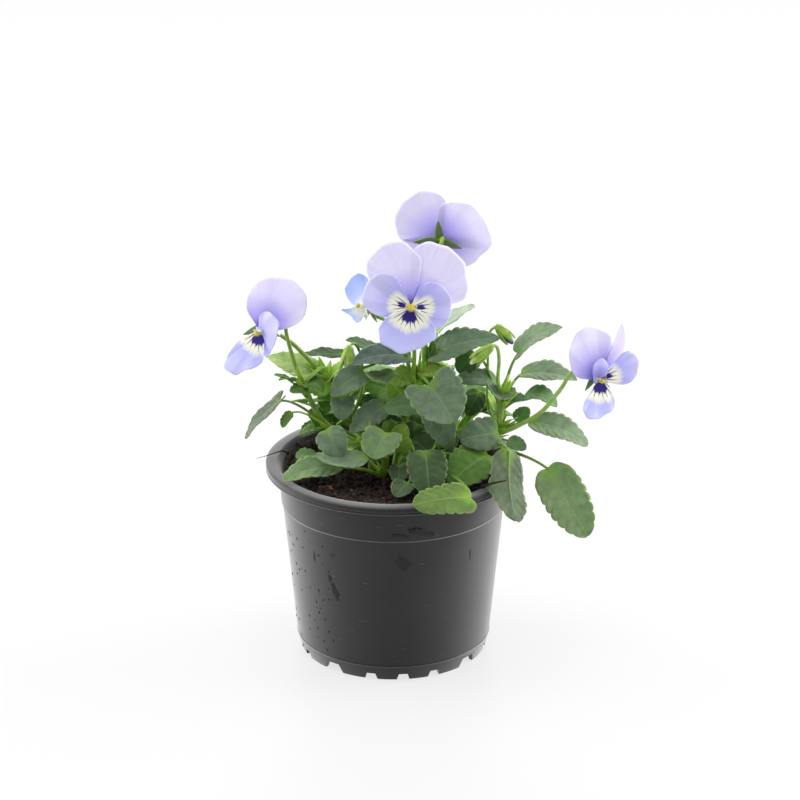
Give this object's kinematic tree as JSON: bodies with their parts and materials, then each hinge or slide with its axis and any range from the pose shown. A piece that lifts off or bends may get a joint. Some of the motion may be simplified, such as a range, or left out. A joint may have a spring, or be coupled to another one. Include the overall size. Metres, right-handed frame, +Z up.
{
  "type": "potted horned violet",
  "caption": "A horned violet with pale lilac blooms and grey-green scalloped leaves, growing in peat soil in its round black plastic nursery pot",
  "frame": {"origin": "on the ground, under the middle of the plant's and pot's bounding box; the pot's axis stands 15.3 mm to the left of it and 3.2 mm behind it", "axes": "+Z up; the front of the plant, where the large bloom faces, looks to -Y; +X to the right"},
  "size_m": [0.1695, 0.1128, 0.1949],
  "materials": {
    "black_plastic": "semi-matt moulded plastic with a soft sheen, scuffed",
    "peat_soil": "moist, crumbly and fibrous",
    "violet_leaf": "soft leaf, slightly glossy, grey-green",
    "petal_lilac": "thin matt petal with a velvety surface",
    "eye_yellow": "matt yellow"
  },
  "bodies": {
    "root": {"pot": "black_plastic", "soil": "peat_soil", "shoot_left": "violet_leaf", "shoot_left_inner": "violet_leaf", "shoot_centre": "violet_leaf", "shoot_right": "violet_leaf", "shoot_front": "violet_leaf", "shoot_front_left": "violet_leaf", "shoot_back_left": "violet_leaf", "shoot_back": "violet_leaf", "shoot_back_right": "violet_leaf", "bloom_front_petals": "petal_lilac", "bloom_back_petals": "petal_lilac", "bloom_left_petals": "petal_lilac", "bloom_right_petals": "petal_lilac", "bloom_small_petals": "petal_lilac", "bud_left_petals": "petal_lilac", "bud_right_petals": "petal_lilac", "bud_centre_petals": "petal_lilac", "bloom_front_eye": "eye_yellow", "bloom_back_eye": "eye_yellow", "bloom_left_eye": "eye_yellow", "bloom_right_eye": "eye_yellow", "bloom_small_eye": "eye_yellow"}
  },
  "joints": []
}
